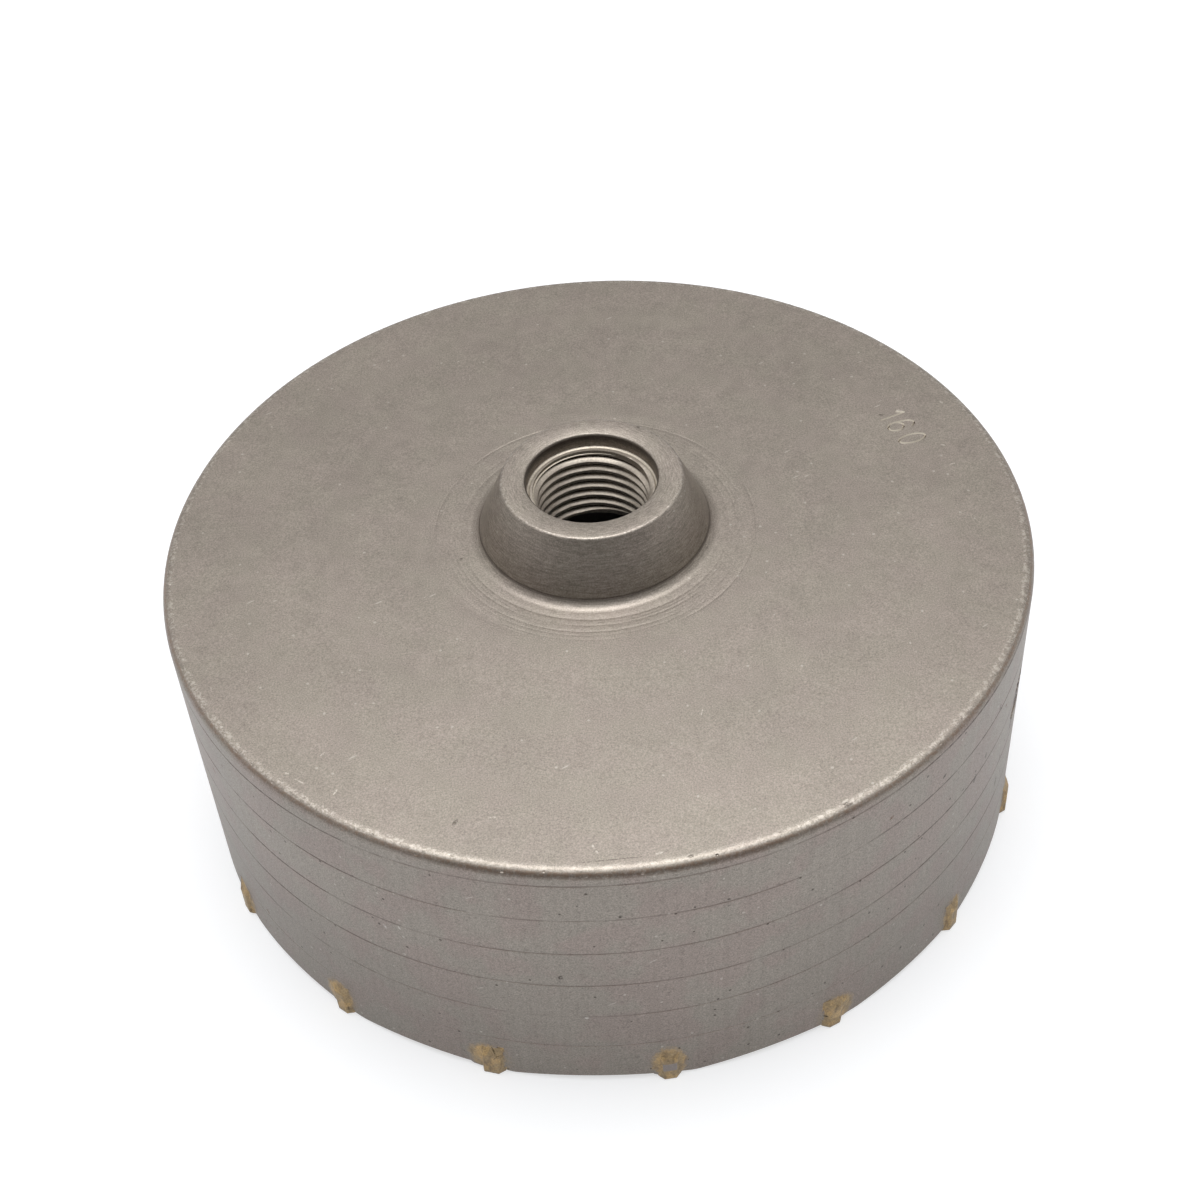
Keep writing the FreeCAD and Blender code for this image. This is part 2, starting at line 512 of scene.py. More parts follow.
def make_thread():
    """Right-handed ridge of the inside thread, as a closed strip that winds down the hole."""
    top = boss_top_z - counterbore_depth
    bottom = underside_z + 0.4
    steps_per_turn = 96
    steps = int((top + 0.6 - bottom) / thread_pitch * steps_per_turn)
    points = []
    faces = []
    sunk = thread_radius + 0.25
    for step in range(steps + 1):
        height = bottom + thread_pitch * step / steps_per_turn
        angle = 360.0 * step / steps_per_turn - thread_start_angle
        crest = min(crest_radius_at(height), thread_radius - 0.02)
        rise = (thread_radius - crest) / (thread_radius - thread_crest_radius)
        half_crest = (thread_foot_width - (thread_foot_width - thread_crest_width) * rise) / 2
        rough = 0.03 * noise.noise(polar(6.0, angle, height))
        half_foot = thread_foot_width / 2
        for radius, offset in (
            (sunk, half_foot + 0.05),
            (thread_radius, half_foot),
            (crest + 0.06, half_crest + 0.02),
            (crest + rough, half_crest - 0.05),
            (crest + rough, -half_crest + 0.05),
            (crest + 0.06, -half_crest - 0.02),
            (thread_radius, -half_foot),
            (sunk, -half_foot - 0.05),
        ):
            points.append(polar(radius, angle, min(max(height + offset, underside_z + 0.3), top - 0.02 + 0.01 * offset)))
    count = 8
    for step in range(steps):
        for row in range(count):
            after = (row + 1) % count
            near = step * count
            far = near + count
            faces.append((near + row, far + row, far + after, near + after))
    faces.append(tuple(range(count)))
    faces.append(tuple(reversed(range(steps * count, (steps + 1) * count))))
    form = form_from_lists(points, faces)
    return new_object("arbor_thread_ridge", mesh_from_bmesh("arbor_thread_ridge", form, 28.0))


# Tips and braze
square_tip = 15
bare_tip = 0
mound_height = 0.9

def make_tip(number):
    """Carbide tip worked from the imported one: edges softened, faces rough, set a little crooked."""
    node = "carbide_tip_%02d" % (number + 1)
    name = "tip_%02d" % (number + 1)
    draw = random.Random(40 + number)
    form = bmesh.new()
    form.from_mesh(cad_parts[node].data)
    bmesh.ops.remove_doubles(form, verts=form.verts, dist=0.001 * MM)
    bmesh.ops.dissolve_limit(form, angle_limit=math.radians(2), verts=form.verts, edges=form.edges)
    middle = sum((v.co for v in form.verts), Vector()) / len(form.verts)
    angle = math.radians(first_tip_angle + number * tip_pitch_angle)
    radial = Vector((math.cos(angle), math.sin(angle), 0))
    lean = Matrix.Rotation(math.radians(draw.uniform(-2.0, 2.0)), 3, radial)
    swing = Matrix.Rotation(math.radians(draw.uniform(-1.5, 1.5)), 3, "Z")
    across = Vector((-math.sin(angle), math.cos(angle), 0))
    for vertex in form.verts:
        offset = vertex.co - middle
        at_end = offset.dot(radial) > 2.5 * MM and offset.z < 2 * MM
        if number == square_tip and at_end and offset.dot(across) < -0.5 * MM:
            offset = offset + across * (-0.75 * MM - offset.dot(across) - 0.9 * MM)
        vertex.co = middle + lean @ (swing @ (offset * 0.972))
    bmesh.ops.bevel(form, geom=form.edges[:], offset=0.17 * MM, segments=2, profile=0.55, affect="EDGES")
    bmesh.ops.triangulate(form, faces=form.faces[:])
    for reach in (1.6, 0.9, 0.5):
        long_edges = [edge for edge in form.edges if edge.calc_length() > reach * MM]
        bmesh.ops.subdivide_edges(form, edges=long_edges, cuts=1)
        bmesh.ops.triangulate(form, faces=form.faces[:])
    form.normal_update()
    for vertex in form.verts:
        spot = vertex.co / MM
        dent = 0.06 * abs(noise.noise(spot * 0.8)) + 0.03 * abs(noise.noise(spot * 2.5))
        vertex.co -= vertex.normal * dent * MM
    tip = new_object(name, mesh_from_bmesh(name, form, 30.0))
    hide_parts(node)
    return tip


# Braze halo of a tip: half width, height above the rim, and shift along the rim
halo_sizes = {
    0: (3.7, 8.6, 0.0),
    15: (3.9, 7.9, -1.2),
    14: (3.6, 8.2, -0.5),
    1: (3.7, 7.6, 1.2),
    2: (3.2, 8.0, 0.3),
    3: (3.2, 7.4, 0.2),
}


def halo_size(number):
    """Half width, height and shift of the braze round a tip."""
    draw = random.Random(90 + number)
    drawn = (draw.uniform(3.1, 3.7), draw.uniform(7.0, 8.4), draw.uniform(-0.7, 0.7))
    return halo_sizes.get(number, drawn)


def patch_reach(turn, half_width, half_height, number):
    """Distance from a patch's middle to its uneven outline in one direction."""
    wave = 1 + 0.1 * noise.noise(Vector((math.cos(turn) * 2, math.sin(turn) * 2, number * 3.7)))
    return half_width * half_height * wave / math.hypot(half_height * math.cos(turn), half_width * math.sin(turn))


def braze_patch(number, wall_radius, direction):
    """Low mound of braze on one face of the wall: its points, its faces and how far braze covers each point."""
    angle = first_tip_angle + number * tip_pitch_angle
    half_width, height, shift = halo_size(number)
    low = rim_height(angle, wall_radius) + 0.02
    half_height = height * 0.58
    centre_z = low + height - half_height
    spokes = 56
    rounds = 12
    points = []
    covers = []
    for layer in ("face", "root"):
        for ring in range(rounds + 1):
            share = ring / rounds
            for spoke in range(spokes):
                turn = math.tau * spoke / spokes
                full = patch_reach(turn, half_width, half_height, number)
                reach = full
                if math.sin(turn) < 0:
                    reach = min(reach, (centre_z - low) / -math.sin(turn))
                along = reach * share * math.cos(turn)
                raised = centre_z + reach * share * math.sin(turn)
                away = min(reach * share / full, 1.0)
                spot = Vector((along, raised, number * 5.1 + wall_radius))
                lump = 0.9 + 0.3 * noise.noise(spot * 0.7) + 0.2 * noise.noise(spot * 2.1)
                depth = min(mound_height * (1 - away) ** 1.25 * lump, 0.78) - 0.02
                if layer == "root":
                    depth = -0.3
                along += shift * share
                points.append(polar(wall_radius + direction * depth, angle + math.degrees(along / wall_radius), raised))
                covers.append(1 - away)
    layer_size = (rounds + 1) * spokes
    faces = []
    for start in (0, layer_size):
        for ring in range(rounds):
            for spoke in range(spokes):
                other = (spoke + 1) % spokes
                near = start + ring * spokes
                far = near + spokes
                faces.append((near + spoke, near + other, far + other, far + spoke))
    for spoke in range(spokes):
        other = (spoke + 1) % spokes
        upper = rounds * spokes
        lower = layer_size + rounds * spokes
        faces.append((upper + spoke, upper + other, lower + other, lower + spoke))
    return points, faces, covers


def braze_film(number):
    """Closed block of braze that fills the slot round the tip."""
    angle = first_tip_angle + number * tip_pitch_angle
    turn = Matrix.Rotation(math.radians(angle), 3, "Z")
    half = tip_width / 2 + braze_gap
    low = rim_height(angle, skirt_radius) + 0.03
    points = []
    for radius in (inner_radius + 0.1, skirt_radius - 0.1):
        for across in (-half, half):
            for height in (low, tip_height + braze_gap):
                points.append(turn @ Vector((radius, across, height)))
    faces = [(0, 1, 3, 2), (4, 6, 7, 5), (0, 4, 5, 1), (2, 3, 7, 6), (0, 2, 6, 4), (1, 5, 7, 3)]
    return points, faces, [1.0] * len(points)


def make_braze(number):
    """Braze of one tip: the film in its slot and the mounds on both faces of the wall."""
    solids = [
        braze_film(number),
        braze_patch(number, skirt_radius, 1),
        braze_patch(number, inner_radius, -1),
    ]
    points = []
    faces = []
    covers = []
    for solid_points, solid_faces, solid_covers in solids:
        start = len(points)
        points += solid_points
        faces += [[start + place for place in face] for face in solid_faces]
        covers += solid_covers
    form = form_from_lists(points, faces)
    layer = form.verts.layers.float.new("cover")
    for vertex, cover in zip(form.verts, covers):
        vertex[layer] = cover
    bmesh.ops.remove_doubles(form, verts=form.verts, dist=0.0005 * MM)
    name = "braze_joint_%02d" % (number + 1)
    braze = new_object(name, mesh_from_bmesh(name, form, 50.0))
    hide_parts("braze_%02d" % (number + 1))
    return braze


# Materials

class Finish:
    """Adds nodes to one material. Positions are in millimetres in the part's own frame."""

    def __init__(self, name):
        self.material = bpy.data.materials.new(name)
        self.material.use_nodes = True
        self.nodes = self.material.node_tree.nodes
        self.links = self.material.node_tree.links
        self.nodes.clear()
        place = self.nodes.new("ShaderNodeTexCoord").outputs["Object"]
        self.position = self.vector("SCALE", place, scale=1 / MM)

    def put(self, socket, value):
        if isinstance(value, bpy.types.NodeSocket):
            self.links.new(value, socket)
        else:
            socket.default_value = value

    def vector(self, operation, first, second=None, scale=None):
        node = self.nodes.new("ShaderNodeVectorMath")
        node.operation = operation
        self.put(node.inputs[0], first)
        if second is not None:
            self.put(node.inputs[1], second)
        if scale is not None:
            self.put(node.inputs["Scale"], scale)
        return node.outputs["Value" if operation in ("LENGTH", "DISTANCE", "DOT_PRODUCT") else "Vector"]

    def math(self, operation, first, second=0.0, third=0.0):
        node = self.nodes.new("ShaderNodeMath")
        node.operation = operation
        for socket, value in zip(node.inputs, (first, second, third)):
            self.put(socket, value)
        return node.outputs[0]

    def step(self, value, low, high, start=0.0, end=1.0):
        """Smooth change from start to end while a value goes from low to high."""
        node = self.nodes.new("ShaderNodeMapRange")
        node.interpolation_type = "SMOOTHSTEP"
        for name, number in (("From Min", low), ("From Max", high), ("To Min", start), ("To Max", end)):
            node.inputs[name].default_value = number
        self.put(node.inputs["Value"], value)
        return node.outputs[0]

    def noise(self, place, scale, detail=2.0, roughness=0.5):
        node = self.nodes.new("ShaderNodeTexNoise")
        self.put(node.inputs["Vector"], place)
        node.inputs["Scale"].default_value = scale
        node.inputs["Detail"].default_value = detail
        node.inputs["Roughness"].default_value = roughness
        return node.outputs["Fac"]

    def colour_noise(self, place, scale):
        """Three numbers of noise, each from 0 to 1."""
        node = self.nodes.new("ShaderNodeTexNoise")
        self.put(node.inputs["Vector"], place)
        node.inputs["Scale"].default_value = scale
        return node.outputs["Color"]

    def cells(self, place, scale):
        """Distance to the nearest of scattered points, and that point's own random number."""
        node = self.nodes.new("ShaderNodeTexVoronoi")
        self.put(node.inputs["Vector"], place)
        node.inputs["Scale"].default_value = scale
        random_number = self.split(node.outputs["Color"])[0]
        return node.outputs["Distance"], random_number

    def split(self, value):
        node = self.nodes.new("ShaderNodeSeparateXYZ")
        self.put(node.inputs[0], value)
        return node.outputs

    def join(self, x, y, z):
        node = self.nodes.new("ShaderNodeCombineXYZ")
        for socket, value in zip(node.inputs, (x, y, z)):
            self.put(socket, value)
        return node.outputs[0]

    def mix(self, share, first, second, blend_type="MIX"):
        node = self.nodes.new("ShaderNodeMix")
        node.data_type = "RGBA"
        node.blend_type = blend_type
        self.put(node.inputs[0], share)
        self.put(node.inputs[6], first)
        self.put(node.inputs[7], second)
        return node.outputs[2]

    def scaled(self, colour, factor):
        """Colour times a number."""
        return self.vector("SCALE", colour, scale=factor)

    def normal(self):
        return self.nodes.new("ShaderNodeNewGeometry").outputs["Normal"]

    def bump(self, height, distance, strength=1.0, below=None):
        """Bump from a height of 0 to 1 that stands for a distance in millimetres."""
        node = self.nodes.new("ShaderNodeBump")
        node.inputs["Distance"].default_value = distance * MM
        node.inputs["Strength"].default_value = strength
        self.put(node.inputs["Height"], height)
        if below is not None:
            self.put(node.inputs["Normal"], below)
        return node.outputs[0]

    def finish(self, colour, metallic, roughness, normal, **constants):
        shader = self.nodes.new("ShaderNodeBsdfPrincipled")
        self.put(shader.inputs["Base Color"], colour)
        shader.inputs["Metallic"].default_value = metallic
        self.put(shader.inputs["Roughness"], roughness)
        self.put(shader.inputs["Normal"], normal)
        for name, value in constants.items():
            shader.inputs[name.replace("_", " ").title()].default_value = value
        output = self.nodes.new("ShaderNodeOutputMaterial")
        self.links.new(shader.outputs[0], output.inputs["Surface"])
        return self.material


steel_colour = (0.315, 0.279, 0.244, 1.0)
brass_colour = (0.35, 0.262, 0.155, 1.0)
rust_colour = (0.13, 0.055, 0.022, 1.0)
carbide_colour = (0.285, 0.25, 0.235, 1.0)
# Dark brown of grime and pits; where it darkens the hole and the crease at the boss's foot it is painted shade.
grime_and_shade_colour = (0.045, 0.033, 0.025, 1.0)


def around(tree):
    """Radius, angle in radians and height of the shaded point."""
    x, y, z = tree.split(tree.position)
    radius = tree.vector("LENGTH", tree.join(x, y, 0.0))
    angle = tree.math("ARCTAN2", y, x)
    return radius, angle, z


def any_of(tree, masks):
    """Largest of several masks."""
    total = masks[0]
    for mask in masks[1:]:
        total = tree.math("MAXIMUM", total, mask)
    return total


def straight_mark(tree, flat, start, end, half_width):
    """Narrow oval between two points of a flat pattern: 0 along its middle line and 1 at its outline."""
    length = math.dist(start, end)
    spare = 2 * math.hypot(length / 2, half_width) - length
    to_start = tree.vector("DISTANCE", flat, (*start, 0.0))
    to_end = tree.vector("DISTANCE", flat, (*end, 0.0))
    return tree.math("MULTIPLY_ADD", tree.math("ADD", to_start, to_end), 1 / spare, -length / spare)


def mark_place(tree, place):
    """Flat pattern of a place, and a mask that breaks up marks."""
    flat = tree.vector("MULTIPLY", place, (1.0, 1.0, 0.0))
    broken = tree.step(tree.noise(place, 2.6, 1.0), 0.36, 0.56, 0.3, 1.0)
    return flat, broken


def marks_mask(tree, flat, broken, marks):
    """Mask of several straight marks."""
    ovals = [straight_mark(tree, flat, *mark) for mark in marks]
    nearest = ovals[0]
    for oval in ovals[1:]:
        nearest = tree.math("MINIMUM", nearest, oval)
    return tree.math("MULTIPLY", tree.step(nearest, 1.6, 0.3), broken)


def fine_scratches(tree, flow, turn, wanted):
    """Mask of short fine scratches that all run one way: only cells with a high number have one."""
    x, y, z = tree.split(flow)
    cosine = math.cos(math.radians(turn))
    sine = math.sin(math.radians(turn))
    along = tree.math("ADD", tree.math("MULTIPLY", x, cosine), tree.math("MULTIPLY", y, sine))
    across = tree.math("SUBTRACT", tree.math("MULTIPLY", y, cosine), tree.math("MULTIPLY", x, sine))
    distance, number = tree.cells(tree.join(tree.math("MULTIPLY", along, 0.2), across, z), 0.36)
    return tree.math("MULTIPLY", tree.step(distance, 0.075, 0.03), tree.step(number, wanted, wanted + 0.03))


def scribe_line(tree, angle, height):
    """Mask of the spiral line scribed on the wall."""
    turns = tree.math("DIVIDE", tree.math("SUBTRACT", height, scribe_front_z), scribe_pitch)
    turned = tree.math("DIVIDE", tree.math("ADD", angle, math.pi / 2), math.tau)
    share = tree.math("FRACT", tree.math("ADD", tree.math("SUBTRACT", turns, turned), 0.5))
    away = tree.math("MULTIPLY", tree.math("ABSOLUTE", tree.math("SUBTRACT", share, 0.5)), scribe_pitch)
    strength = tree.step(tree.noise(tree.position, 0.12, 2.0), 0.34, 0.52, 0.25, 1.0)
    strength = tree.math("MULTIPLY", strength, tree.step(height, 9.0, 24.0))
    sideways = tree.math("ABSOLUTE", tree.math("COSINE", angle))
    strength = tree.math("MULTIPLY", strength, tree.step(sideways, 0.35, 0.75, 0.5, 1.25))
    return tree.math("MULTIPLY", tree.step(away, 0.26, 0.1), strength)


def tip_halo(tree, angle, height):
    """Mask of the thin braze that ran over the wall round each tip."""
    pitch = math.radians(tip_pitch_angle)
    first = math.radians(first_tip_angle)
    from_first = tree.math("SUBTRACT", angle, first - 0.5 * pitch)
    wrapped = tree.math("SUBTRACT", tree.math("WRAP", from_first, pitch, 0.0), 0.5 * pitch)
    across = tree.math("MULTIPLY", wrapped, skirt_radius)
    wide = tree.math("DIVIDE", across, 3.5)
    tall = tree.math("DIVIDE", tree.math("SUBTRACT", height, rim_z + 3.4), 4.6)
    distance = tree.vector("LENGTH", tree.join(wide, tall, 0.0))
    ragged = tree.math("ADD", distance, tree.math("MULTIPLY", tree.noise(tree.position, 0.9, 3.0), 0.6))
    return tree.step(ragged, 1.42, 1.12)


def plain_steel(tree, mottle, radius, angle, height):
    """Colour of the blasted steel, before anything marks it, with painted shade towards the foot of the wall."""
    on_wall = tree.step(radius, 78.2, 78.8)
    grain = tree.noise(tree.position, 3.6, 3.0, 0.75)
    cloud = tree.noise(tree.position, 0.035, 2.0)
    streak_place = tree.join(tree.math("MULTIPLY", angle, 60.0), tree.math("MULTIPLY", radius, 0.05), 0.0)
    streak = tree.noise(streak_place, 1.0, 2.0)
    shade = tree.math("MULTIPLY_ADD", grain, 1.6, 0.2)
    shade = tree.math("MULTIPLY", shade, tree.math("MULTIPLY_ADD", mottle, 0.2, 0.9))
    shade = tree.math("MULTIPLY", shade, tree.math("MULTIPLY_ADD", cloud, 0.2, 0.9))
    streak_depth = tree.math("MULTIPLY_ADD", on_wall, 0.16, 0.06)
    shade = tree.math("MULTIPLY", shade, tree.math("MULTIPLY_ADD", tree.math("SUBTRACT", streak, 0.5), streak_depth, 1.0))
    cast = tree.noise(tree.position, 0.12, 3.0)
    warmth = tree.step(cast, 0.35, 0.65)
    tint = tree.mix(warmth, (0.995, 1.003, 0.99, 1.0), (1.006, 0.994, 1.0, 1.0))
    patch = tree.step(cast, 0.44, 0.6)
    # Painted shade: the wall is made darker towards its foot.
    low = tree.step(height, 45.0, 12.0)
    painted_foot_shade = tree.math("MULTIPLY", tree.math("MULTIPLY", low, on_wall), -0.12)
    shade = tree.math("MULTIPLY", shade, tree.math("ADD", painted_foot_shade, 1.0))
    wall_tint = tree.mix(patch, (0.98, 0.995, 1.0, 1.0), (0.99, 0.95, 0.972, 1.0))
    tint = tree.mix(on_wall, tint, wall_tint)
    return tree.scaled(tree.mix(1.0, steel_colour, tint, "MULTIPLY"), shade)


# Marks on the plate and boss top as start and end in plan with half width, and on the wall and cone as
# degrees round the axis and height
plate_light_marks = (
    ((68.4, 29.6), (68.8, 28.9), 0.21), ((66.3, 16.5), (67.1, 16.2), 0.17), ((66.9, 10.6), (68.0, 10.9), 0.15),
    ((-47.6, -50.8), (-46.8, -50.0), 0.14), ((-53.2, -53.8), (-52.5, -54.1), 0.21), ((-51.5, -55.2), (-49.7, -56.5), 0.13),
    ((-3.9, -73.0), (-3.6, -73.9), 0.17), ((-3.4, -74.3), (-3.1, -74.8), 0.19), ((5.8, -75.7), (7.0, -75.4), 0.19),
    ((-45.0, -59.2), (-44.4, -58.1), 0.15), ((-20.1, -66.3), (-18.7, -66.2), 0.15), ((15.3, -48.0), (15.7, -46.7), 0.13),
    ((35.8, -68.2), (36.8, -67.5), 0.21), ((59.7, 27.5), (61.0, 26.7), 0.4),
)
plate_dark_marks = (
    ((-7.0, -76.4), (4.4, -76.0), 0.07), ((-25.8, -67.2), (-24.9, -66.2), 0.3), ((36.0, -69.0), (37.6, -68.1), 0.2),
    ((-24.6, -6.9), (-24.3, -6.4), 0.25), ((9.0, 13.0), (9.4, 12.9), 0.25), ((56.2, 26.4), (56.9, 26.3), 0.24),
)
wall_dark_marks = (
    ((-97.93, 30.6), (-97.8, 31.2), 0.4), ((-90.3, 47.2), (-90.2, 47.5), 0.3), ((-46.5, 49.5), (-46.0, 50.1), 0.32),
    ((-52.0, 9.0), (-51.6, 9.5), 0.28), ((-38.4, 37.9), (-38.0, 39.5), 0.4), ((-35.5, 40.3), (-35.3, 41.6), 0.25),
    ((-32.3, 48.2), (-32.0, 49.3), 0.35), ((-29.5, 24.2), (-29.2, 26.2), 0.4), ((-28.8, 30.0), (-28.6, 31.3), 0.4),
)
wall_light_marks = (
    ((-120.1, 35.4), (-119.7, 34.6), 0.22), ((-117.9, 36.6), (-117.7, 35.8), 0.2), ((-95.3, 19.2), (-95.1, 19.4), 0.3),
)
wall_rust_marks = (
    ((-151.6, 42.8), (-151.0, 41.9), 0.3), ((-145.2, 10.8), (-144.8, 10.5), 0.45), ((-157.3, 50.6), (-156.7, 49.9), 0.25),
    ((-29.6, 45.6), (-28.9, 45.2), 0.3), ((-55.9, 49.9), (-55.4, 50.3), 0.25),
)
wall_chip_marks = (
    ((-17.8, 43.6), (-22.5, 41.2), 1.0), ((-18.5, 39.8), (-24.2, 39.2), 1.9), ((-21.0, 37.0), (-24.6, 35.6), 1.6),
    ((-24.0, 34.6), (-24.5, 32.4), 0.7),
)


def unrolled(marks, radius):
    """Marks on a round face as lengths round it and heights."""
    size = math.radians(radius)
    return [((start[0] * size, start[1]), (end[0] * size, end[1]), half) for start, end, half in marks]


def steel_finish():
    """Blasted steel with fine grain, faint streaks, turning marks, nicks, pits and braze stains, and painted shade and
    highlights in the hole, on the edges and in the stamp.
    """
    tree = Finish("blasted_steel")
    radius, angle, height = around(tree)
    facing_up = tree.split(tree.normal())[2]
    on_wall = tree.math("MULTIPLY", tree.step(radius, 77.8, 78.3), tree.step(facing_up, 0.5, 0.2))
    near_boss = tree.step(radius, 36.0, 24.0)
    on_boss = tree.step(radius, 22.5, 21.5)

    grain = tree.noise(tree.position, 2.6, 3.0, 0.7)
    mottle = tree.noise(tree.position, 0.4, 3.0)
    turned_place = tree.join(tree.math("MULTIPLY", angle, 2.5), radius, height)
    turned = tree.noise(turned_place, 3.6, 2.0, 0.6)
    turned_share = tree.math("MULTIPLY", tree.math("SUBTRACT", turned, 0.5), on_boss)
    shade = tree.math("MULTIPLY_ADD", turned_share, 1.1, 1.0)
    on_top = tree.math("MULTIPLY", tree.step(height, boss_top_z - 0.3, boss_top_z - 0.1), 0.08)
    shade = tree.math("MULTIPLY", shade, tree.math("ADD", on_top, 1.0))
    colour = tree.scaled(plain_steel(tree, mottle, radius, angle, height), shade)

    distance, number = tree.cells(tree.position, 0.36)
    dots = tree.step(distance, 0.115, 0.065)
    specks = tree.math("MULTIPLY", dots, tree.step(number, 0.6, 0.65))
    flow = tree.mix(on_wall, tree.position, tree.join(tree.math("MULTIPLY", angle, skirt_radius), height, radius))
    scratches = fine_scratches(tree, flow, 30.0, 0.45)
    light_marks = any_of(tree, [tree.math("MULTIPLY", specks, 0.4), tree.math("MULTIPLY", scratches, 0.42)])
    colour = tree.mix(light_marks, colour, (0.62, 0.58, 0.52, 1.0))

    pits = tree.math("MULTIPLY", tree.math("MULTIPLY", dots, tree.step(number, 0.55, 0.5)), on_wall)
    colour = tree.mix(tree.math("MULTIPLY", pits, 0.75), colour, grime_and_shade_colour)
    soot = tree.step(tree.noise(tree.position, 1.7, 3.0, 0.75), 0.56, 0.68, 0.0, 0.4)
    colour = tree.mix(tree.math("MULTIPLY", soot, on_wall), colour, (0.13, 0.1, 0.09, 1.0))

    on_faces = tree.math("MULTIPLY", tree.step(facing_up, 0.3, 0.6), tree.step(height, 57.0, 57.5))
    in_plan = mark_place(tree, tree.position)
    round_wall = mark_place(tree, tree.join(tree.math("MULTIPLY", angle, skirt_radius), height, 0.0))
    in_wall = tree.math("MULTIPLY", tree.step(radius, 77.0, 77.5), tree.step(height, 50.0, 48.0))
    for place, marks, where, tone, share in (
        (in_plan, plate_light_marks, on_faces, (0.66, 0.61, 0.54, 1.0), 0.6),
        (in_plan, plate_dark_marks, on_faces, grime_and_shade_colour, 0.6),
        (round_wall, unrolled(wall_light_marks, skirt_radius), on_wall, (0.6, 0.57, 0.53, 1.0), 0.7),
        (round_wall, unrolled(wall_dark_marks, skirt_radius), on_wall, grime_and_shade_colour, 0.85),
        (round_wall, unrolled(wall_rust_marks, skirt_radius), on_wall, rust_colour, 0.9),
        (round_wall, unrolled(wall_chip_marks, skirt_radius), in_wall, (0.03, 0.016, 0.01, 1.0), 1.0),
    ):
        shown = tree.math("MULTIPLY", marks_mask(tree, *place, marks), where)
        colour = tree.mix(tree.math("MULTIPLY", shown, share), colour, tone)

    halo = tree.math("MULTIPLY", tip_halo(tree, angle, height), tree.step(height, 13.0, 12.0))
    halo = tree.math("MULTIPLY", halo, tree.step(tree.noise(tree.position, 2.4, 3.0), 0.3, 0.7, 0.0, 0.35))
    colour = tree.mix(halo, colour, brass_colour)

    floor_z = boss_top_z - counterbore_depth
    under_cone = floor_z - lead_in_drop
    # The thread roots, the bore below the lead-in and the counterbore wall are darkened: partly real grime, partly
    # painted shade in the recess of the hole.
    bore_grime_and_shade = tree.math("MULTIPLY", tree.step(radius, 11.7, 11.4), tree.step(height, under_cone, under_cone - 0.1))
    in_ring = tree.math("MULTIPLY", tree.step(height, floor_z, boss_top_z - 0.6), tree.step(radius, 12.2, 12.05))
    in_ring = tree.math("MULTIPLY", in_ring, tree.step(height, boss_top_z - 0.1, boss_top_z - 0.3))
    bore_grime_and_shade = any_of(tree, [bore_grime_and_shade, tree.math("MULTIPLY", in_ring, 0.75)])
    colour = tree.mix(bore_grime_and_shade, colour, grime_and_shade_colour)
    on_cone = tree.math("MULTIPLY", tree.step(radius, 11.75, 11.65), tree.step(height, under_cone - 0.05, under_cone + 0.05))
    on_cone = tree.math("MULTIPLY", on_cone, tree.step(height, floor_z + 0.1, floor_z))
    colour = tree.mix(on_cone, colour, tree.scaled((0.6, 0.54, 0.45), tree.math("MULTIPLY_ADD", grain, 1.1, 0.45)))

    line = tree.math("MULTIPLY", scribe_line(tree, angle, height), on_wall)
    broken = tree.step(tree.noise(tree.position, 0.9, 3.0, 0.7), 0.36, 0.56, 0.4, 0.8)
    colour = tree.mix(tree.math("MULTIPLY", line, broken), colour, (0.085, 0.058, 0.048, 1.0))

    ragged = tree.noise(tree.position, 1.5, 3.0, 0.75)
    # Pale broken band where the plate's edge starts to round: partly real wear and nicks, partly a painted highlight,
    # weaker at the front.
    worn_radius = tree.math("MULTIPLY_ADD", ragged, 1.4, radius)
    worn_edge_and_highlight = tree.math("MULTIPLY", tree.step(worn_radius, 77.5, 78.1), tree.step(facing_up, 0.7, 0.9))
    worn_edge_and_highlight = tree.math("MULTIPLY", worn_edge_and_highlight, tree.step(ragged, 0.47, 0.6, 0.0, 0.55))
    in_front = tree.step(tree.math("SINE", angle), -0.9, -0.97, 0.15, 1.0)
    worn_edge_and_highlight = tree.math("MULTIPLY", worn_edge_and_highlight, tree.math("MULTIPLY_ADD", in_front, -0.6, 1.1))
    colour = tree.mix(worn_edge_and_highlight, colour, (0.6, 0.55, 0.49, 1.0))
    # Painted shade: a dark band across the rounded edge at the front of the cup.
    painted_bend_shade = tree.math("MULTIPLY", tree.step(facing_up, 0.85, 0.65), tree.step(facing_up, 0.15, 0.4))
    painted_bend_shade = tree.math("MULTIPLY", painted_bend_shade, tree.step(radius, 77.8, 78.2))
    painted_bend_shade = tree.math("MULTIPLY", painted_bend_shade, tree.math("MULTIPLY", tree.step(ragged, 0.35, 0.6, 0.1, 0.6), in_front))
    colour = tree.mix(painted_bend_shade, colour, (0.17, 0.125, 0.095, 1.0))
    rust_line = tree.math("MULTIPLY", tree.step(facing_up, 0.86, 0.8), tree.step(facing_up, 0.45, 0.65))
    rust_line = tree.math("MULTIPLY", rust_line, tree.step(radius, 77.8, 78.2))
    rust_line = tree.math("MULTIPLY", rust_line, tree.step(ragged, 0.42, 0.6, 0.1, 0.55))
    colour = tree.mix(rust_line, colour, (0.27, 0.18, 0.125, 1.0))

    on_plate = tree.math("MULTIPLY", tree.step(radius, 30.0, 31.0), tree.step(radius, 76.5, 76.0))
    stamped = tree.math("MULTIPLY", on_plate, tree.step(facing_up, 0.985, 0.93, 0.0, 0.85))
    stamped = tree.math("MULTIPLY", stamped, tree.step(facing_up, 0.1, 0.3))
